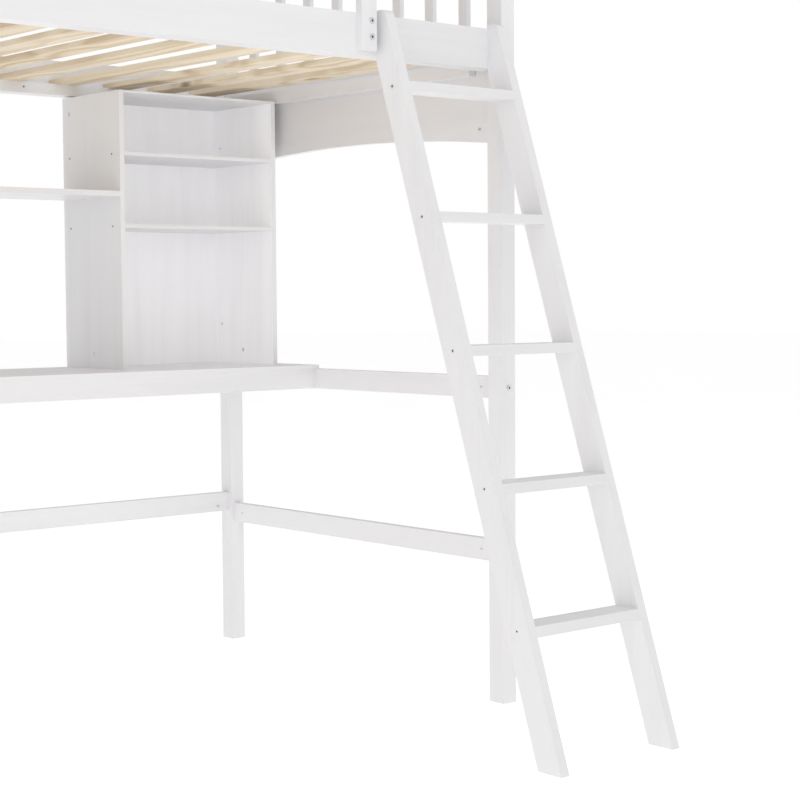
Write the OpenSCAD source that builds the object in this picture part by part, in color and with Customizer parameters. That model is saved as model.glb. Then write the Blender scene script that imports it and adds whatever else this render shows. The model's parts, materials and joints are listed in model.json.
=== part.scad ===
// Twin loft bed with a full-length desk, a bookcase and a slanted ladder.
// Millimetres. The origin is on the floor at the centre of the whole footprint,
// +X points along the bed to the ladder end, +Y to the desk side, +Z up.
// Each piece is drawn about the centre of the four posts, and the whole bed is
// moved back at the end to make room for the ladder's feet.
// Pieces that come in left and right hands are drawn on the right and mirrored.

/* [Bed] */
// Overall length over the posts
bed_l = 2000; // [1980:1:2040]
// Overall depth over the posts, without the ladder
bed_w = 1060; // [1050:1:1080]
// Height of the posts
post_h = 1800; // [1790:1:1860]
// Post width along the bed
post_x = 38; // [36:1:42]
// Post width across the bed
post_y = 44; // [42:1:46]

/* [Side rails and slats] */
// Height of the side rails' lower edge above the floor
side_z = 1372; // [1371:1:1374]
// Height of a side rail
side_h = 84; // [82:1:90]
// Thickness of a side rail and of everything in line with it
side_t = 22; // [20:1:24]
// Width of the square cleats that carry the slats
cleat = 26; // [24:1:28]
// Number of slats
slat_count = 14; // [13:1:14]
// Distance from one slat to the next
slat_pitch = 133; // [125:1:136]
// Width of a slat
slat_w = 64; // [50:1:70]
// Thickness of a slat
slat_t = 12; // [10:1:16]
// Gap between the ladder-end posts and the first slat
slat_margin = 43; // [30:1:60]

/* [End frames] */
// Thickness of the end boards and end rails
end_t = 20; // [18:1:22]
// Height of the end boards' lower edge at the posts
board_z = 1219; // [1210:1:1225]
// Height of an end board at the posts
board_h = 211; // [205:1:220]
// Rise of the arched lower edge
arch_rise = 26; // [10:1:40]
// Height of the narrow rails
rail_h = 48; // [46:1:54]
// Lower edge of the lower end rails
low_end_z = 308; // [290:1:310]
// Lower edge of the rails and the apron that carry the desktop
desk_rail_z = 666; // [640:1:680]
// Lower edge of the back rail near the floor
low_back_z = 336; // [330:1:345]
// Lower edge of the top rails
top_rail_z = 1720; // [1710:1:1725]
// Height of a top rail
top_rail_h = 60; // [50:1:65]
// Number of pickets in each end
picket_count = 8; // [6:1:8]
// Distance from one picket to the next
picket_pitch = 112; // [90:1:114]
// Width of a picket
picket_w = 28; // [20:1:32]
// Thickness of a picket
picket_t = 12; // [8:1:12]

/* [Guard] */
// Height of a guard board
guard_h = 66; // [60:1:70]
// Lower edge of the lower guard boards
guard_low_z = 1540; // [1530:1:1560]
// Lower edge of the upper guard boards
guard_top_z = 1700; // [1695:1:1702]
// Width of the guard post beside the ladder
guard_post_w = 39; // [36:1:50]
// Thickness of the guard post
guard_post_t = 18; // [15:1:22]

/* [Ladder] */
// Width over the ladder rails
ladder_w = 331; // [320:1:360]
// Gap between the ladder and the inner face of the corner post
ladder_gap = 8; // [5:1:20]
// Thickness of a ladder rail
ladder_t = 22; // [20:1:24]
// Distance from the posts' front faces back to the foot's inner edge
ladder_foot = 446; // [430:1:460]
// Slope of the ladder away from upright, in degrees
ladder_tilt = 18.5; // [18:0.1:19]
// Width of a ladder rail, square to its slope
ladder_rail_w = 58; // [55:1:62]
// Height of the ladder's top end
ladder_h = 1464; // [1458:1:1470]
// Number of rungs
rung_count = 5; // [4:1:5]
// Height of the lowest rung's middle
rung_first = 257; // [240:1:270]
// Height from one rung to the next
rung_pitch = 263; // [250:1:265]
// Thickness of a rung
rung_t = 20; // [18:1:24]

/* [Desk] */
// Thickness of the desktop
desk_t = 9; // [8:1:9]
// Depth of the desktop
desk_d = 384; // [380:1:400]
// Thickness of the front apron
apron_t = 20; // [18:1:22]

/* [Bookcase and shelf] */
// Width over the bookcase's sides
case_w = 445; // [400:1:500]
// Depth of the bookcase with its back
case_d = 255; // [245:1:265]
// Gap between the bookcase and the posts' inner faces
case_gap = 19; // [15:1:30]
// Thickness of the bookcase's sides
panel_t = 12; // [10:1:15]
// Thickness of the bookcase's back
case_back_t = 12; // [8:1:15]
// Thickness of the two short shelves
thin_t = 8; // [6:1:10]
// Thickness of the bookcase's top
case_top_t = 5; // [4:1:5]
// Height of the bookcase's sides
case_h = 640; // [630:1:640]
// Upper face of the lower short shelf
shelf_low_z = 1060; // [1040:1:1080]
// Upper face of the upper short shelf
shelf_high_z = 1227; // [1200:1:1250]
// Upper face of the long shelf
long_shelf_z = 1136; // [1120:1:1150]
// Thickness of the long shelf
long_shelf_t = 12; // [10:1:15]

/* [Hardware] */
// Diameter of the bolts
bolt_d = 6; // [6:1:8]
// Diameter of the bolt heads
bolt_head_d = 11; // [10:1:14]
// Diameter of the barrel nuts
nut_d = 10; // [9:1:12]
// Distance from a rail's end to its barrel nut
nut_in = 34; // [30:1:38]
// Diameter of the screw heads
screw_head_d = 9; // [8:1:10]

/* [Hidden] */
$fn = 48;
smooth = 720;
cut = 1;
white = [0.93, 0.93, 0.94];
pine = [0.82, 0.72, 0.56];
zinc = [0.78, 0.79, 0.80];

half_l = bed_l / 2;
half_w = bed_w / 2;
in_x = half_l - post_x;
in_y = half_w - post_y;
post_cx = half_l - post_x / 2;
post_cy = half_w - post_y / 2;
inner_l = 2 * in_x;
inner_w = 2 * in_y;

// The side rails' outer faces stand back from the posts' outer faces
side_cy = half_w - 10 - side_t / 2;
side_out = side_cy + side_t / 2;
side_in = side_cy - side_t / 2;
side_top = side_z + side_h;

// Board that ends between two posts is held by bolts at these heights
low_end_bolt = low_end_z + rail_h / 2;
desk_end_bolt = desk_rail_z + rail_h / 2;
board_bolts = [board_z + 32, side_z + 25];
top_rail_bolt = top_rail_z + 32;
end_bolts = concat([low_end_bolt, desk_end_bolt], board_bolts, [top_rail_bolt]);
side_bolts = [side_z + 42, side_top - 16];
side_guard_bolts = [side_z + 36, side_top - 16];
guard_bolts = [guard_low_z + guard_h / 2, guard_top_z + 31];
back_rail_bolts = [low_back_z + 14, desk_rail_z + 36];

desk_z = desk_rail_z + rail_h;
desk_top = desk_z + desk_t;
desk_front = side_out - desk_d;
apron_cy = desk_front + 5 + apron_t / 2;
apron_l = 2 * (post_cx - end_t / 2);

case_right = in_x - case_gap;
case_left = case_right - case_w;
case_rear = side_out - 10;
case_front = case_rear - case_d;
case_top = desk_top + case_h;
panel_d = case_d - case_back_t;
shelf_front = case_front + 2;
case_panels = [case_left, case_right - panel_t];
all_panels = concat([-case_right], case_panels);
panel_nut_l = panel_t - 2;
case_bolt_in = 128;
screw_rows = [35, 225];
back_nut_in = 24;
back_bolts = [desk_top + 98, case_top - 96];

// A bolt reaches a little past its barrel nut and its bore a little further
bolt_hole_d = bolt_d + 0.4;
bolt_past = 8;
bore_past = 10;
nut_l = 16;
head_h = 2.2;
socket_d = 5;
socket_h = 3.5;
screw_d = 4;
screw_head_h = 3;
screw_socket_d = 4.6;
screw_socket_h = 2.4;
slot_w = 1.4;
slot_h = 1.2;
cleat_screw_l = 36;
rung_screw_l = 42;
shelf_screw_l = 36;
board_screw_l = 30;
desk_screw_l = 26;
desk_screw_z = desk_rail_z + 28;

tenon = 8;
picket_gap_z = board_z + board_h;
picket_l = top_rail_z - picket_gap_z;
picket_cx = post_cx + 2;

ladder_right = in_x - ladder_gap;
ladder_left = ladder_right - ladder_w;
ladder_slope = tan(ladder_tilt);
ladder_depth = ladder_rail_w / cos(ladder_tilt);
rung_l = ladder_w - 2 * ladder_t;
guard_right = ladder_left - 13;
guard_bolt_x = guard_right - 13;
guard_front = -side_out - guard_post_t;
ladder_bolt_z = side_top - 36;
ladder_bolt_l = side_t + 32;
guard_bolt_l = guard_post_t + side_t - 4;

slat_l = 2 * side_in - 2;
slat_z = side_z + cleat;
// The slats lie loose: how far each has slid from even spacing
slat_slid = [0, 11, 15, 0, -13, -21, -3, 5, 0, 0, 0, 0, 0, 0];
end_cleat_t = 20;
end_cleat_x = post_cx - end_t / 2 - end_cleat_t;
end_cleat_y = in_y - nut_in - 12;
end_cleat_z = side_z - 7;

// Inner and outer edge of the ladder at height z
function ladder_back(z) = -half_w - ladder_foot + ladder_slope * z;
function ladder_front(z) = ladder_back(z) - ladder_depth;
function rung_z(i) = rung_first + i * rung_pitch;
// Centres the footprint, from the ladder's feet to the bolt heads in the back posts
footprint_y = -(ladder_front(0) + half_w + head_h) / 2;

function two_digits(i) = str(i < 10 ? "0" : "", i);

SLATS = [for (i = [1:slat_count]) str("slat_", two_digits(i))];
RUNGS = [for (i = [1:rung_count]) str("rung_", i)];

// Places its children at both ends of the bed, the left ones mirrored
module both_ends() {
    children();
    mirror([1, 0, 0]) children();
}

// Places its children on the front and on the back, the front ones mirrored
module both_sides() {
    children();
    mirror([0, 1, 0]) children();
}

// Box from one corner to the other
module block(from, to) {
    translate(from) cube(to - from);
}

// Bolt along +Z with its head below Z = 0 and a hexagon socket in the head
module bolt(length) {
    difference() {
        union() {
            translate([0, 0, -head_h]) cylinder(d = bolt_head_d, h = head_h);
            cylinder(d = bolt_d, h = length);
        }
        translate([0, 0, -head_h - cut]) cylinder(d = socket_d, h = cut + socket_h, $fn = 6);
    }
}

// Barrel nut along +Z, flush and slotted at Z = 0, with a thread across at a given depth
module barrel_nut(length, depth) {
    difference() {
        cylinder(d = nut_d, h = length);
        translate([-nut_d / 2, -slot_w / 2, -cut]) cube([nut_d, slot_w, cut + slot_h]);
        translate([-nut_d, 0, depth]) rotate([0, 90, 0]) cylinder(d = bolt_d, h = 2 * nut_d);
    }
}

// Countersunk screw along +Z with its head flush at Z = 0
module screw(length) {
    difference() {
        screw_hole(length);
        translate([0, 0, -cut]) cylinder(d = screw_socket_d, h = cut + screw_socket_h, $fn = 6);
    }
}

module screw_hole(length) {
    cylinder(d = screw_head_d, h = screw_head_h);
    cylinder(d = screw_d, h = length);
}

// Turns a child that lies along +Z
module along_x(way) {
    rotate([0, way * 90, 0]) children();
}

module along_y(way) {
    rotate([-way * 90, 0, 0]) children();
}

// Stands a child on both ends of a bar that is centred on the origin, facing inward
module at_ends(reach, heights) {
    for (end = [-1, 1], z = heights)
        translate([end * reach, 0, z]) along_x(-end) children();
}

// Stands a child on the bar's -Y face at its barrel nuts
module at_nuts(length, thick, heights) {
    for (end = [-1, 1], z = heights)
        translate([end * (length / 2 - nut_in), -thick / 2, z]) along_y(1) children();
}

// Bar along X, centred over the origin, bored for bolts and for barrel nuts
module bolted_rail(length, thick, height, bolts) {
    difference() {
        translate([-length / 2, -thick / 2, 0]) cube([length, thick, height]);
        at_ends(length / 2 + cut, bolts) cylinder(d = bolt_hole_d, h = nut_in + bore_past + cut);
        at_nuts(length, thick, bolts) translate([0, 0, -cut]) cylinder(d = nut_d, h = nut_l + cut);
    }
}

// Member of the right end frame, across the bed between the posts
module end_member(z, height, bolts) {
    translate([post_cx, 0, z]) rotate([0, 0, -90])
        bolted_rail(inner_w, end_t, height, bolts);
}

// Member in line with a side rail, along the bed between the posts
module side_member(z, height, bolts) {
    translate([0, side_cy, z]) bolted_rail(inner_l, side_t, height, bolts);
}

// Right back post, bored for the end members and for the members along the bed
module post(long_bolts) {
    difference() {
        block([in_x, in_y, 0], [half_l, half_w, post_h]);
        for (z = end_bolts)
            translate([post_cx, in_y - cut, z]) rotate([-90, 0, 0])
                cylinder(d = bolt_hole_d, h = post_y + 2 * cut);
        for (z = long_bolts)
            translate([in_x - cut, side_cy, z]) rotate([0, 90, 0])
                cylinder(d = bolt_hole_d, h = post_x + 2 * cut);
    }
}

module post_front_right() {
    color(white) mirror([0, 1, 0]) post(side_bolts);
}

module post_back_right() {
    color(white) post(concat(back_rail_bolts, side_bolts, guard_bolts));
}

module post_front_left() {
    color(white) mirror([1, 0, 0]) mirror([0, 1, 0]) post(concat(side_bolts, guard_bolts));
}

module post_back_left() {
    color(white) mirror([1, 0, 0]) post_back_right();
}

// The arch is a circle through both lower corners of the board
module end_board_right() {
    arch_r = (in_y * in_y + arch_rise * arch_rise) / (2 * arch_rise);
    color(white) difference() {
        end_member(board_z, board_h, [for (z = board_bolts) z - board_z]);
        translate([post_cx - end_t, 0, board_z + arch_rise - arch_r]) rotate([0, 90, 0])
            cylinder(r = arch_r, h = 2 * end_t, $fn = smooth);
        pickets_right();
    }
}

module end_board_left() {
    mirror([1, 0, 0]) end_board_right();
}

module top_rail_right() {
    color(white) difference() {
        end_member(top_rail_z, top_rail_h, [top_rail_bolt - top_rail_z]);
        pickets_right();
    }
}

module top_rail_left() {
    mirror([1, 0, 0]) top_rail_right();
}

// Each picket sits in a mortise at both ends
module pickets_right() {
    color(white) for (i = [0:picket_count - 1])
        translate([picket_cx, (i - (picket_count - 1) / 2) * picket_pitch, picket_gap_z - tenon])
            translate([-picket_t / 2, -picket_w / 2, 0])
                cube([picket_t, picket_w, picket_l + 2 * tenon]);
}

module pickets_left() {
    mirror([1, 0, 0]) pickets_right();
}

module low_end_rail_right() {
    color(white) end_member(low_end_z, rail_h, [low_end_bolt - low_end_z]);
}

module low_end_rail_left() {
    mirror([1, 0, 0]) low_end_rail_right();
}

module desk_end_rail_right() {
    color(white) difference() {
        end_member(desk_rail_z, rail_h, [desk_end_bolt - desk_rail_z]);
        translate([post_cx - end_t, apron_cy, desk_end_bolt]) rotate([0, 90, 0])
            cylinder(d = bolt_hole_d, h = 2 * end_t);
    }
}

module desk_end_rail_left() {
    mirror([1, 0, 0]) desk_end_rail_right();
}

module side_rail_back() {
    color(white) difference() {
        side_member(side_z, side_h, [for (z = side_bolts) z - side_z]);
        cleat_screws() screw_hole(cleat_screw_l);
    }
}

module side_rail_front() {
    color(white) difference() {
        mirror([0, 1, 0]) side_rail_back();
        at_guard_post(side_guard_bolts) cylinder(d = bolt_d, h = guard_bolt_l + 1);
        at_ladder_bolts() cylinder(d = bolt_hole_d, h = side_t + cut);
    }
}

// Screws from the back cleat into the back side rail
module cleat_screws() {
    screw_pitch = 249;
    for (i = [-3.5:3.5])
        translate([i * screw_pitch, side_in - cleat, side_z + 14]) along_y(1) children();
}

module side_cleats() {
    color(white) both_sides() difference() {
        block([-in_x + 1, side_in - cleat, side_z], [in_x - 1, side_in, slat_z]);
        cleat_screws() screw_hole(cleat_screw_l);
    }
}

// Glued to the end boards, between their barrel nuts
module end_cleats() {
    color(white) both_ends()
        block([end_cleat_x, -end_cleat_y, end_cleat_z], [end_cleat_x + end_cleat_t, end_cleat_y, slat_z]);
}

module slat(i) {
    slat_right = in_x - slat_margin - (i - 1) * slat_pitch + slat_slid[i - 1];
    color(pine) translate([slat_right - slat_w, -slat_l / 2, slat_z]) cube([slat_w, slat_l, slat_t]);
}

// Bolts through the guard post, seen from the front
module at_guard_post(heights) {
    for (z = heights)
        translate([guard_bolt_x, guard_front, z]) along_y(1) children();
}

// The guard post stands on the outside of the front side rail
module guard_post() {
    color(white) difference() {
        block([guard_right - guard_post_w, guard_front, side_z + 9],
              [guard_right, -side_out, guard_top_z + guard_h]);
        at_guard_post(concat(side_guard_bolts, guard_bolts))
            translate([0, 0, -cut]) cylinder(d = bolt_hole_d, h = guard_post_t + 2 * cut);
    }
}

// Runs from the left post to behind the guard post
module guard_front_board(z, bolt_z) {
    color(white) difference() {
        block([-in_x, -side_out, z], [guard_right, -side_in, z + guard_h]);
        translate([-in_x - cut, -side_cy, bolt_z]) along_x(1)
            cylinder(d = bolt_hole_d, h = nut_in + bore_past + cut);
        translate([-in_x + nut_in, -side_in + cut, bolt_z]) along_y(-1)
            cylinder(d = nut_d, h = nut_l + cut);
        at_guard_post([bolt_z]) cylinder(d = bolt_d, h = guard_bolt_l + 1);
    }
}

module guard_front_low() {
    guard_front_board(guard_low_z, guard_bolts[0]);
}

module guard_front_top() {
    guard_front_board(guard_top_z, guard_bolts[1]);
}

module guard_back_low() {
    color(white) side_member(guard_low_z, guard_h, [guard_bolts[0] - guard_low_z]);
}

module guard_back_top() {
    color(white) side_member(guard_top_z, guard_h, [guard_bolts[1] - guard_top_z]);
}

// Stands a side view, drawn in the bed's Y and Z, up at x and gives it a width along X
module upright(x, width) {
    translate([x, 0, 0]) rotate([90, 0, 90]) linear_extrude(height = width) children();
}

// Side view of a ladder rail: slanted, upright where it meets the side rail,
// with its front top corner rounded
module ladder_rail_outline() {
    corner_r = 14;
    upright_z = (ladder_foot + half_w - side_out) / ladder_slope;
    difference() {
        polygon([
            [ladder_front(0), 0], [ladder_back(0), 0], [-side_out, upright_z],
            [-side_out, ladder_h], [ladder_front(ladder_h), ladder_h]
        ]);
        translate([ladder_front(ladder_h - corner_r) + corner_r / cos(ladder_tilt), ladder_h - corner_r])
            outside_corner(corner_r);
    }
}

// What lies between a circle and the corner of its upper and its slanted tangent
module outside_corner(r) {
    far = 2 * r;
    difference() {
        polygon([[0, 0], [0, far], [-far, far], [-far * cos(ladder_tilt), far * sin(ladder_tilt)]]);
        circle(r = r);
    }
}

// Screws through both rails into the rungs, at the middle of the rails' width
module rung_screws() {
    for (i = [0:rung_count - 1]) {
        z = rung_z(i);
        y = (ladder_front(z) + ladder_back(z)) / 2;
        translate([ladder_left, y, z]) along_x(1) children();
        translate([ladder_right, y, z]) along_x(-1) children();
    }
}

// Bolts from inside the side rail into both ladder rails
module at_ladder_bolts() {
    for (x = [ladder_left + ladder_t / 2, ladder_right - ladder_t / 2])
        translate([x, -side_in, ladder_bolt_z]) along_y(-1) children();
}

module ladder_rail(x) {
    color(white) difference() {
        upright(x, ladder_t) ladder_rail_outline();
        rung_screws() screw_hole(rung_screw_l);
        at_ladder_bolts() cylinder(d = bolt_d, h = ladder_bolt_l + 1);
    }
}

module ladder_rail_left() {
    ladder_rail(ladder_left);
}

module ladder_rail_right() {
    ladder_rail(ladder_right - ladder_t);
}

// The rungs stand between the rails, as deep as they are and bevelled to their slope
module rung(i) {
    low = rung_z(i - 1) - rung_t / 2;
    high = rung_z(i - 1) + rung_t / 2;
    color(white) difference() {
        upright(ladder_left + ladder_t, rung_l)
            polygon([
                [ladder_front(low), low], [ladder_back(low), low],
                [ladder_back(high), high], [ladder_front(high), high]
            ]);
        rung_screws() screw_hole(rung_screw_l);
    }
}

// The desktop's back corners are notched around the posts
module desktop() {
    notch_gap = 0.5;
    color(white) difference() {
        block([-post_cx, desk_front, desk_z], [post_cx, side_out, desk_top]);
        both_ends() block([in_x - notch_gap, in_y - notch_gap, desk_z - cut],
                          [half_l, half_w, desk_top + cut]);
        at_case_bolts(all_panels) cylinder(d = bolt_hole_d, h = desk_t + cut);
        desk_screws() cylinder(d = screw_d, h = desk_screw_l);
    }
}

// Screws up into the desktop, sunk deep into the rails that carry it
module desk_screws() {
    screw_pitch = 600;
    for (i = [-1:1], y = [apron_cy, side_cy])
        translate([i * screw_pitch, y, desk_screw_z]) children();
}

module desk_screw_bores() {
    desk_screws() {
        cylinder(d = screw_d, h = desk_screw_l);
        mirror([0, 0, 1]) cylinder(d = screw_head_d + 1, h = desk_screw_z);
    }
}

module desk_apron() {
    color(white) difference() {
        translate([0, apron_cy, desk_rail_z]) mirror([0, 1, 0])
            bolted_rail(apron_l, apron_t, rail_h, [desk_end_bolt - desk_rail_z]);
        desk_screw_bores();
    }
}

module desk_back_rail() {
    color(white) difference() {
        side_member(desk_rail_z, rail_h, [back_rail_bolts[1] - desk_rail_z]);
        desk_screw_bores();
    }
}

module low_back_rail() {
    color(white) side_member(low_back_z, rail_h, [back_rail_bolts[0] - low_back_z]);
}

// Bolts up through the desktop into the upright panels
module at_case_bolts(panels) {
    for (x = panels)
        translate([x + panel_t / 2, case_front + case_bolt_in, desk_z]) children();
}

// Bolts down through the bookcase's top into its sides
module at_top_bolts() {
    for (x = case_panels)
        translate([x + panel_t / 2, case_front + screw_rows[1], case_top + case_top_t])
            mirror([0, 0, 1]) children();
}

// Bolts from behind through the bookcase's back into its sides
module at_back_bolts() {
    for (x = case_panels, z = back_bolts)
        translate([x + panel_t / 2, case_rear, z]) along_y(-1) children();
}

// Barrel nuts for the bolts from below, in the upright panels' left faces
module at_low_nuts() {
    for (x = all_panels)
        translate([x, case_front + case_bolt_in, desk_top + nut_in]) along_x(1) children();
}

// Barrel nuts for the bolts from above, in the bookcase's outer faces
module at_top_nuts() {
    translate([case_left, case_front + screw_rows[1], case_top - nut_in]) along_x(1) children();
    translate([case_right, case_front + screw_rows[1], case_top - nut_in]) along_x(-1) children();
}

// Barrel nuts for the bolts from behind, in the bookcase's inner faces
module at_back_nuts() {
    for (z = back_bolts) {
        translate([case_left + panel_t, case_front + panel_d - back_nut_in, z])
            along_x(-1) rotate([0, 0, 90]) children();
        translate([case_right - panel_t, case_front + panel_d - back_nut_in, z])
            along_x(1) rotate([0, 0, 90]) children();
    }
}

module at_panel_nuts() {
    at_low_nuts() children();
    at_top_nuts() children();
    at_back_nuts() children();
}

// Screws through the upright panels into the ends of the shelves
module shelf_screws() {
    for (row = screw_rows) {
        for (top = [shelf_low_z, shelf_high_z]) {
            translate([case_left, case_front + row, top - thin_t / 2]) along_x(1) children();
            translate([case_right, case_front + row, top - thin_t / 2]) along_x(-1) children();
        }
        translate([case_left + panel_t, case_front + row, long_shelf_z - long_shelf_t / 2])
            along_x(-1) children();
        translate([-case_right, case_front + row, long_shelf_z - long_shelf_t / 2])
            along_x(1) children();
    }
}

// Screws down through the front corners of the bookcase's top
module top_screws() {
    for (x = case_panels)
        translate([x + panel_t / 2, case_front + panel_t, case_top + case_top_t])
            mirror([0, 0, 1]) children();
}

module case_panel(x, height) {
    color(white) difference() {
        block([x, case_front, desk_top], [x + panel_t, case_front + panel_d, desk_top + height]);
        at_case_bolts(all_panels) cylinder(d = bolt_hole_d, h = desk_t + nut_in + bore_past);
        at_top_bolts() cylinder(d = bolt_hole_d, h = case_top_t + nut_in + bore_past);
        at_back_bolts() cylinder(d = bolt_hole_d, h = case_back_t + back_nut_in + bore_past);
        at_panel_nuts() translate([0, 0, -cut]) cylinder(d = nut_d, h = panel_nut_l + cut);
        shelf_screws() screw_hole(shelf_screw_l);
        top_screws() screw_hole(board_screw_l);
    }
}

module case_side_left() {
    case_panel(case_left, case_h);
}

module case_side_right() {
    case_panel(case_right - panel_t, case_h);
}

// Carries the left end of the long shelf
module shelf_end_panel() {
    case_panel(-case_right, long_shelf_z - desk_top);
}

module case_back() {
    color(white) difference() {
        block([case_left, case_front + panel_d, desk_top], [case_right, case_rear, case_top]);
        at_back_bolts() translate([0, 0, -cut]) cylinder(d = bolt_hole_d, h = case_back_t + 2 * cut);
    }
}

module case_top_board() {
    color(white) difference() {
        block([case_left, case_front, case_top], [case_right, case_rear, case_top + case_top_t]);
        at_top_bolts() translate([0, 0, -cut]) cylinder(d = bolt_hole_d, h = case_top_t + 2 * cut);
        top_screws() screw_hole(board_screw_l);
    }
}

module case_shelf(top) {
    color(white) difference() {
        block([case_left + panel_t, shelf_front, top - thin_t],
              [case_right - panel_t, case_front + panel_d, top]);
        shelf_screws() screw_hole(shelf_screw_l);
    }
}

module case_shelf_low() {
    case_shelf(shelf_low_z);
}

module case_shelf_high() {
    case_shelf(shelf_high_z);
}

module long_shelf() {
    color(white) difference() {
        block([-case_right + panel_t, case_front, long_shelf_z - long_shelf_t],
              [case_left, case_front + panel_d, long_shelf_z]);
        shelf_screws() screw_hole(shelf_screw_l);
    }
}

module bed_bolts() {
    color(zinc) {
        both_ends() translate([post_cx, 0, 0]) rotate([0, 0, -90])
            at_ends(half_w, end_bolts) bolt(post_y + nut_in + bolt_past);
        both_sides() translate([0, side_cy, 0])
            at_ends(half_l, side_bolts) bolt(post_x + nut_in + bolt_past);
        translate([0, side_cy, 0])
            at_ends(half_l, concat(back_rail_bolts, guard_bolts)) bolt(post_x + nut_in + bolt_past);
        for (z = guard_bolts)
            translate([-half_l, -side_cy, z]) along_x(1) bolt(post_x + nut_in + bolt_past);
        translate([0, apron_cy, 0])
            at_ends(post_cx + end_t / 2, [desk_end_bolt]) bolt(end_t + nut_in + bolt_past);
        at_guard_post(concat(side_guard_bolts, guard_bolts)) bolt(guard_bolt_l);
        at_ladder_bolts() bolt(ladder_bolt_l);
        at_case_bolts(all_panels) bolt(desk_t + nut_in + bolt_past);
        at_top_bolts() bolt(case_top_t + nut_in + bolt_past);
        at_back_bolts() bolt(case_back_t + back_nut_in + bolt_past);
    }
}

module barrel_nuts() {
    color(zinc) {
        both_ends() translate([post_cx, 0, 0]) rotate([0, 0, -90])
            at_nuts(inner_w, end_t, end_bolts) barrel_nut(nut_l, end_t / 2);
        both_sides() translate([0, side_cy, 0])
            at_nuts(inner_l, side_t, side_bolts) barrel_nut(nut_l, side_t / 2);
        translate([0, side_cy, 0])
            at_nuts(inner_l, side_t, concat(back_rail_bolts, guard_bolts)) barrel_nut(nut_l, side_t / 2);
        for (z = guard_bolts)
            translate([-in_x + nut_in, -side_in, z]) along_y(-1) barrel_nut(nut_l, side_t / 2);
        translate([0, apron_cy, 0]) mirror([0, 1, 0])
            at_nuts(apron_l, apron_t, [desk_end_bolt]) barrel_nut(nut_l, apron_t / 2);
        at_panel_nuts() barrel_nut(panel_nut_l, panel_t / 2);
    }
}

module ladder_screws() {
    color(zinc) rung_screws() screw(rung_screw_l);
}

module panel_screws() {
    color(zinc) {
        both_sides() cleat_screws() screw(cleat_screw_l);
        shelf_screws() screw(shelf_screw_l);
        top_screws() screw(board_screw_l);
        desk_screws() screw(desk_screw_l);
    }
}

translate([0, footprint_y, 0]) {
    post_front_right();
    post_back_right();
    post_front_left();
    post_back_left();
    end_board_right();
    end_board_left();
    top_rail_right();
    top_rail_left();
    pickets_right();
    pickets_left();
    low_end_rail_right();
    low_end_rail_left();
    desk_end_rail_right();
    desk_end_rail_left();
    side_rail_front();
    side_rail_back();
    side_cleats();
    end_cleats();
    for (i = [1:slat_count])
        slat(i);
    guard_post();
    guard_front_low();
    guard_front_top();
    guard_back_low();
    guard_back_top();
    ladder_rail_left();
    ladder_rail_right();
    for (i = [1:rung_count])
        rung(i);
    desktop();
    desk_apron();
    desk_back_rail();
    low_back_rail();
    case_side_left();
    case_side_right();
    case_back();
    case_top_board();
    case_shelf_low();
    case_shelf_high();
    long_shelf();
    shelf_end_panel();
    bed_bolts();
    barrel_nuts();
    ladder_screws();
    panel_screws();
}
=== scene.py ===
"""The loft bed with desk, in a plain white studio, seen from the front left at desk height."""

import bpy
import json
from math import radians
from mathutils import Matrix, Vector


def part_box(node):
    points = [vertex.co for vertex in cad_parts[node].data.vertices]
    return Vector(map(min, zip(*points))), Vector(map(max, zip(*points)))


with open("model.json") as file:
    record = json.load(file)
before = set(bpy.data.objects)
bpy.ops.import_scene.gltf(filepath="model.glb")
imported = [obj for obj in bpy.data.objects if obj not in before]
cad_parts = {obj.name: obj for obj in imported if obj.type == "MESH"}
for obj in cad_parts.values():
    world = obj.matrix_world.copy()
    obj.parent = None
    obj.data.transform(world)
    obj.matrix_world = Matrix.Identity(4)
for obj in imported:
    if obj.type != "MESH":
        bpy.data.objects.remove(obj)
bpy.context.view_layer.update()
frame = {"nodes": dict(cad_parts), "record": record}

SLOTS = {part["node"]: part["material_slot"] for part in frame["record"]["subparts"]}

# Which way the wood runs in each piece, from the start of its name. Otherwise it runs along the bed
GRAIN_ACROSS = ("end_board", "end_cleats", "top_rail", "low_end_rail", "desk_end_rail", "slat_")
GRAIN_UPRIGHT = ("post_", "pickets", "guard_post", "ladder_rail", "case_side", "case_back",
                 "shelf_end_panel")

# How far the edges of the pieces are rounded, in metres
EDGE_THIN = 0.0006
EDGE_SLAT = 0.0012
EDGE_BOARD = 0.0016
THIN_PIECES = ("case_", "long_shelf", "shelf_end_panel", "desktop")
EDGE_SEGMENTS = 3

# What is done to the CAD mesh before its edges are rounded: metres and degrees
WELD_DISTANCE = 0.00002
FLAT_ANGLE = 1.0
SHARP_ANGLE = 50.0

# Linear colours. In a ramp, each one comes after its place in the ramp
PAINT_GRAIN = ((0.30, (0.800, 0.792, 0.806)), (0.50, (0.848, 0.842, 0.853)),
               (0.72, (0.866, 0.862, 0.869)))
PAINT_PATCH = (0.835, 0.826, 0.834, 1.0)
PINE_STREAKS = ((0.15, (0.83, 0.725, 0.550)), (0.55, (0.735, 0.610, 0.430)),
                (0.92, (0.530, 0.375, 0.210)))
PINE_PALE = (0.90, 0.80, 0.66, 1.0)
PINE_DARK = (0.66, 0.52, 0.36, 1.0)
PINE_KNOT = (0.30, 0.165, 0.075, 1.0)
ZINC_TONES = ((0.2, (0.74, 0.74, 0.76)), (0.8, (0.90, 0.90, 0.92)))
FLOOR_TONES = ((0.3, (0.91, 0.91, 0.91)), (0.7, (0.94, 0.94, 0.94)))
WHITE = (1.0, 1.0, 1.0, 1.0)

# How far at most a slat is shifted by chance through the pattern of the wood, in metres
SLAT_PATTERN_SHIFT = (7.0, 9.0, 5.0)

# Each cell of the knot pattern holds a knot only where its random number is above this
KNOT_THRESHOLD = 0.62

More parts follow.
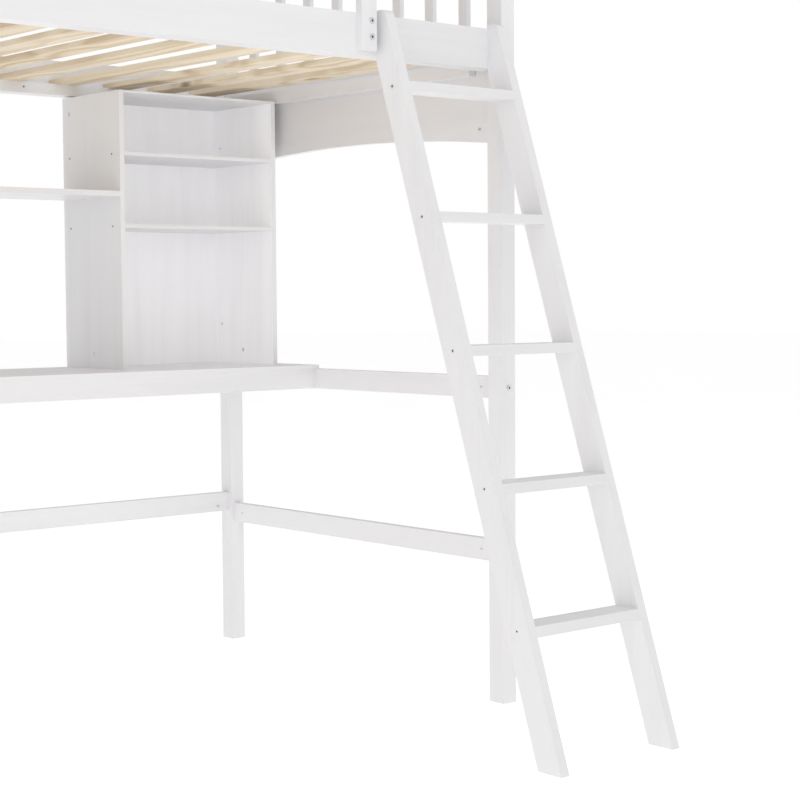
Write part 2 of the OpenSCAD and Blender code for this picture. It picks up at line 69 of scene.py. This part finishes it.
# A fitting's colour is darkened as painted shade where another surface is nearer than this, in
# metres
SOCKET_REACH = 0.004

# How strongly the room and the floor themselves shine, and the floor's side in metres
ROOM_STRENGTH = 0.60
FLOOR_GLOW = 0.43
FLOOR_SIDE = 60.0

# The three large lights: name, place, the point it faces, its side in metres and its power in watts
LARGE_LIGHTS = (
    ("key", (-1.2, -6.0, 3.2), (0.2, 0.2, 1.3), 4.5, 62.0),
    ("fill", (-6.0, -2.0, 3.4), (0.2, 0.0, 1.5), 4.0, 27.0),
    ("top", (0.0, -0.5, 5.5), (0.0, 0.0, 0.0), 6.0, 36.0),
)

# Power of the soft lights into the bookcase and onto the slats over it, in watts
BACK_FILL_POWER = 4.2
SIDE_FILL_POWER = 13.5
SLAT_FILL_POWER = 0.6

# The camera: metres from the front right post's foot, lens and sensor in mm, angles in degrees
CAMERA_PLACE = (-2.699, -2.8175, 0.8931)
CAMERA_SENSOR = 36.0
CAMERA_LENS = 81.36
CAMERA_HEADING = 40.52
CAMERA_TILT = -3.34
CAMERA_ROLL = -0.39


class Shader:
    """A material's node tree, with one short call for each node."""

    def __init__(self, name):
        self.material = bpy.data.materials.new(name)
        self.material.use_nodes = True
        self.tree = self.material.node_tree
        self.tree.nodes.clear()
        self.output = self.node("OutputMaterial")
        self.place = self.node("TexCoord").outputs["Object"]

    def node(self, kind, **settings):
        made = self.tree.nodes.new("ShaderNode" + kind)
        for key, value in settings.items():
            setattr(made, key, value)
        return made

    def link(self, source, socket):
        self.tree.links.new(source, socket)

    def feed(self, made, values):
        """Sets or links a node's inputs by name or number."""
        for key, value in values.items():
            if isinstance(value, bpy.types.NodeSocket):
                self.link(value, made.inputs[key])
            else:
                made.inputs[key].default_value = value
        return made

    def stretched(self, scale, source=None):
        """The object's coordinates, or the source's, scaled along each axis."""
        mapping = self.node("Mapping")
        self.link(source or self.place, mapping.inputs["Vector"])
        mapping.inputs["Scale"].default_value = scale
        return mapping.outputs["Vector"]

    def noise(self, vector, scale, detail=4.0, roughness=0.5, distortion=0.0):
        made = self.feed(self.node("TexNoise"), {
            "Vector": vector, "Scale": scale, "Detail": detail,
            "Roughness": roughness, "Distortion": distortion})
        return made.outputs["Fac"]

    def math(self, operation, *values):
        made = self.node("Math", operation=operation)
        return self.feed(made, dict(enumerate(values))).outputs[0]

    def remap(self, value, low, high, to_low, to_high):
        made = self.feed(self.node("MapRange"), {
            "Value": value, "From Min": low, "From Max": high, "To Min": to_low, "To Max": to_high})
        return made.outputs["Result"]

    def ramp(self, value, stops):
        made = self.node("ValToRGB")
        self.link(value, made.inputs["Fac"])
        points = made.color_ramp.elements
        while len(points) < len(stops):
            points.new(0.5)
        for point, (where, colour) in zip(points, stops):
            point.position = where
            point.color = (*colour, 1.0)
        return made.outputs["Color"]

    def mix(self, factor, first, second, blend="MIX"):
        """Mixes two colours: on this node their sockets are inputs 6 and 7 and output 2."""
        made = self.node("Mix", data_type="RGBA", blend_type=blend)
        return self.feed(made, {0: factor, 6: first, 7: second}).outputs[2]

    def bump(self, height, strength, distance, normal=None):
        made = self.feed(self.node("Bump"), {
            "Height": height, "Strength": strength, "Distance": distance})
        if normal is not None:
            self.link(normal, made.inputs["Normal"])
        return made.outputs["Normal"]

    def surface(self, **inputs):
        shader = self.node("BsdfPrincipled")
        self.feed(shader, {name.replace("_", " "): value for name, value in inputs.items()})
        self.link(shader.outputs["BSDF"], self.output.inputs["Surface"])
        return self.material


def along(axis, length_scale, side_scale):
    """Mapping scale that draws a pattern out along one axis."""
    return [length_scale if index == axis else side_scale for index in range(3)]


def paint_material(axis):
    """Satin white lacquer on solid wood: the grain shows through a little."""
    s = Shader("white_paint_" + "xyz"[axis])
    fibres = s.noise(s.stretched(along(axis, 4.0, 95.0)), 1.0, 6.0, 0.62, 0.35)
    figure = s.noise(s.stretched(along(axis, 1.3, 17.0)), 1.0, 3.0, 0.5, 0.9)
    patches = s.noise(s.place, 2.6, 3.0)
    peel = s.noise(s.place, 420.0, 2.0)
    tone = s.math("ADD", s.math("MULTIPLY", fibres, 0.35), s.math("MULTIPLY", figure, 0.65))
    grain = s.ramp(tone, PAINT_GRAIN)
    colour = s.mix(s.remap(patches, 0.35, 0.7, 0.0, 0.35), grain, PAINT_PATCH)
    roughness = s.remap(s.math("ADD", fibres, patches), 0.6, 1.4, 0.30, 0.46)
    normal = s.bump(peel, 0.10, 0.0004)
    normal = s.bump(fibres, 0.22, 0.0006, normal)
    normal = s.bump(figure, 0.12, 0.0012, normal)
    return s.surface(Base_Color=colour, Roughness=roughness, Normal=normal,
                     Coat_Weight=0.18, Coat_Roughness=0.22)


def pine_material(pitch, first_x):
    """Bare planed pine, streaked along the slat, with a few knots and a pattern for each slat."""
    s = Shader("pine")
    parts = s.node("SeparateXYZ")
    s.link(s.place, parts.inputs[0])
    x, y, z = parts.outputs
    number = s.math("FLOOR", s.math("DIVIDE", s.math("SUBTRACT", x, first_x), pitch))
    chance = s.feed(s.node("TexWhiteNoise", noise_dimensions="1D"), {"W": number})
    own = s.node("VectorMath", operation="MULTIPLY_ADD")
    s.feed(own, {0: chance.outputs["Color"], 1: SLAT_PATTERN_SHIFT, 2: s.place})
    place = own.outputs["Vector"]

    knots = s.feed(s.node("TexVoronoi", feature="F1"), {
        "Vector": s.stretched((9.0, 3.4, 9.0), place), "Scale": 1.0, "Randomness": 1.0})
    knot_size = s.remap(knots.outputs["Distance"], 0.03, 0.11, 1.0, 0.0)
    picked = s.node("SeparateColor")
    s.link(knots.outputs["Color"], picked.inputs[0])
    knot = s.math("MULTIPLY", knot_size, s.math("GREATER_THAN", picked.outputs[0], KNOT_THRESHOLD))
    swirl = s.math("MULTIPLY", s.remap(knots.outputs["Distance"], 0.0, 0.5, 1.0, 0.0), 0.35)

    waver = s.noise(s.stretched((5.0, 0.9, 5.0), place), 1.0, 2.0)
    across = s.math("ADD", s.math("MULTIPLY", x, 105.0), s.math("MULTIPLY", z, 60.0))
    rings = s.math("ADD", across, s.math("MULTIPLY", s.math("ADD", waver, swirl), 26.0))
    bands = s.math("MULTIPLY_ADD", s.math("SINE", rings), 0.5, 0.5)
    fibres = s.noise(s.stretched((420.0, 9.0, 420.0), place), 1.0, 5.0, 0.6)
    blotch = s.noise(s.stretched((6.0, 1.6, 6.0), place), 1.0, 3.0)

    tone = s.math("ADD", s.math("MULTIPLY", bands, 0.55), s.math("MULTIPLY", fibres, 0.45))
    wood = s.ramp(tone, PINE_STREAKS)
    pale = s.mix(s.remap(blotch, 0.3, 0.75, 0.0, 0.55), wood, PINE_PALE)
    board = s.mix(s.math("MULTIPLY", chance.outputs["Value"], 0.28), pale, PINE_DARK)
    colour = s.mix(s.math("MULTIPLY", knot, 0.85), board, PINE_KNOT)
    roughness = s.remap(tone, 0.2, 0.9, 0.55, 0.74)
    normal = s.bump(fibres, 0.35, 0.0005)
    normal = s.bump(bands, 0.12, 0.0004, normal)
    return s.surface(Base_Color=colour, Roughness=roughness, Normal=normal)


def zinc_material():
    """Zinc plated steel, its colour darkened by painted shade in the sockets and slots."""
    s = Shader("zinc")
    spangle = s.feed(s.node("TexVoronoi", feature="F1"), {"Vector": s.place, "Scale": 900.0})
    haze = s.noise(s.place, 260.0, 4.0)
    tone = s.math("MULTIPLY_ADD", haze, 0.6, s.math("MULTIPLY", spangle.outputs["Distance"], 0.4))
    metal = s.ramp(tone, ZINC_TONES)
    # Painted shade: the metal colour is multiplied darker where ambient occlusion finds nearby
    # surfaces, in sockets and slots
    socket_occlusion = s.node("AmbientOcclusion", samples=8)
    socket_occlusion.inputs["Distance"].default_value = SOCKET_REACH
    shade = s.remap(socket_occlusion.outputs["AO"], 0.25, 0.75, 0.10, 1.0)
    painted_socket_shade = s.node("CombineColor")
    for channel in range(3):
        s.link(shade, painted_socket_shade.inputs[channel])
    colour = s.mix(1.0, metal, painted_socket_shade.outputs["Color"], "MULTIPLY")
    roughness = s.remap(tone, 0.2, 0.8, 0.28, 0.48)
    return s.surface(Base_Color=colour, Metallic=1.0, Roughness=roughness,
                     Normal=s.bump(haze, 0.2, 0.0001))


def round_edges(piece, width):
    """Eased edges: the CAD mesh is welded and its flat faces joined first."""
    weld = piece.modifiers.new("weld", "WELD")
    weld.merge_threshold = WELD_DISTANCE
    flat = piece.modifiers.new("flat_faces", "DECIMATE")
    flat.decimate_type = "DISSOLVE"
    flat.angle_limit = radians(FLAT_ANGLE)
    bevel = piece.modifiers.new("edges", "BEVEL")
    bevel.width = width
    bevel.segments = EDGE_SEGMENTS
    bevel.limit_method = "ANGLE"
    bevel.angle_limit = radians(SHARP_ANGLE)
    bevel.use_clamp_overlap = True
    normals = piece.modifiers.new("normals", "WEIGHTED_NORMAL")
    normals.keep_sharp = True


def grain_axis(name):
    """The axis that a piece's wood runs along: 0, 1 or 2."""
    if name.startswith(GRAIN_ACROSS):
        return 1
    return 2 if name.startswith(GRAIN_UPRIGHT) else 0


def slat_names():
    return sorted(name for name in SLOTS if name.startswith("slat_"))


def finish_pieces():
    """Gives every CAD piece its material, and the wooden ones their eased edges."""
    slats = slat_names()
    low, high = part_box(slats[0])
    pitch = (low.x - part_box(slats[-1])[0].x) / (len(slats) - 1)
    first_x = low.x - (pitch - (high.x - low.x)) / 2
    paints = [paint_material(axis) for axis in range(3)]
    pine = pine_material(pitch, first_x)
    zinc = zinc_material()
    for name, piece in frame["nodes"].items():
        slot = SLOTS[name]
        if slot == "hardware":
            material = zinc
        elif slot == "pine":
            material = pine
            round_edges(piece, EDGE_SLAT)
        else:
            material = paints[grain_axis(name)]
            round_edges(piece, EDGE_THIN if name.startswith(THIN_PIECES) else EDGE_BOARD)
        piece.data.materials.clear()
        piece.data.materials.append(material)


def floor_material():
    """Smooth white studio floor, lit a little from below like a light table."""
    s = Shader("studio_floor")
    mottle = s.noise(s.place, 1.7, 4.0)
    colour = s.ramp(mottle, FLOOR_TONES)
    return s.surface(Base_Color=colour, Roughness=0.8, Emission_Color=WHITE,
                     Emission_Strength=FLOOR_GLOW)


def make_floor():
    bpy.ops.mesh.primitive_plane_add(size=FLOOR_SIDE)
    floor = bpy.context.object
    floor.name = "studio_floor"
    floor.data.materials.append(floor_material())


def make_light(name, place, target, size, power):
    """A square lamp that faces the target."""
    data = bpy.data.lights.new(name, "AREA")
    data.shape = "SQUARE"
    data.size = size
    data.energy = power
    light = bpy.data.objects.new(name, data)
    light.location = place
    light.rotation_euler = (Vector(target) - Vector(place)).to_track_quat("-Z", "Y").to_euler()
    bpy.context.scene.collection.objects.link(light)
    return light


def fill_light(name, offset, target, size, power, receivers):
    """A soft light that reaches only the receivers, and that only they can block.

    Its place and its target are counted from the middle of the bookcase's back.
    """
    low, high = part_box("case_back")
    middle = (low + high) / 2
    light = make_light(name, middle + Vector(offset), middle + Vector(target), size, power)
    reached = bpy.data.collections.new(name)
    for piece in receivers:
        reached.objects.link(frame["nodes"][piece])
    light.light_linking.receiver_collection = reached
    light.light_linking.blocker_collection = reached


def fill_bookcase():
    """Evens out the light in the bookcase and on the slats over it, as close reflectors would."""
    middle, above = (0.0, 0.0, 0.0), (0.0, 0.0, 0.35)
    fill_light("back_fill", (-0.2, -1.0, 0.45), middle, 0.8, BACK_FILL_POWER, ["case_back"])
    fill_light("side_fill", (-2.0, 0.0, 0.1), middle, 0.8, SIDE_FILL_POWER, ["case_side_right"])
    fill_light("slat_fill", (-0.4, -0.6, -0.35), above, 0.6, SLAT_FILL_POWER, slat_names())


def make_world():
    """A white room: it shows as pure white and lights the bed a little less."""
    world = bpy.data.worlds.new("studio")
    world.use_nodes = True
    nodes, links = world.node_tree.nodes, world.node_tree.links
    room = nodes["Background"]
    room.inputs["Strength"].default_value = ROOM_STRENGTH
    backdrop = nodes.new("ShaderNodeBackground")
    for background in (room, backdrop):
        background.inputs["Color"].default_value = WHITE
    path = nodes.new("ShaderNodeLightPath")
    either = nodes.new("ShaderNodeMixShader")
    links.new(path.outputs["Is Camera Ray"], either.inputs[0])
    links.new(room.outputs[0], either.inputs[1])
    links.new(backdrop.outputs[0], either.inputs[2])
    links.new(either.outputs[0], nodes["World Output"].inputs["Surface"])
    bpy.context.scene.world = world


def make_studio():
    make_world()
    bpy.context.scene.view_settings.view_transform = "Standard"
    for light in LARGE_LIGHTS:
        make_light(*light)
    fill_bookcase()


def make_camera():
    """At the photograph's viewing angle, placed from the front right post's foot."""
    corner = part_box("post_front_right")[0]
    data = bpy.data.cameras.new("camera")
    data.sensor_width = CAMERA_SENSOR
    data.lens = CAMERA_LENS
    camera = bpy.data.objects.new("camera", data)
    camera.matrix_world = (
        Matrix.Translation(corner + Vector(CAMERA_PLACE))
        @ Matrix.Rotation(radians(-CAMERA_HEADING), 4, "Z")
        @ Matrix.Rotation(radians(90.0 + CAMERA_TILT), 4, "X")
        @ Matrix.Rotation(radians(CAMERA_ROLL), 4, "Z"))
    bpy.context.scene.collection.objects.link(camera)
    bpy.context.scene.camera = camera


finish_pieces()
make_floor()
make_studio()
make_camera()
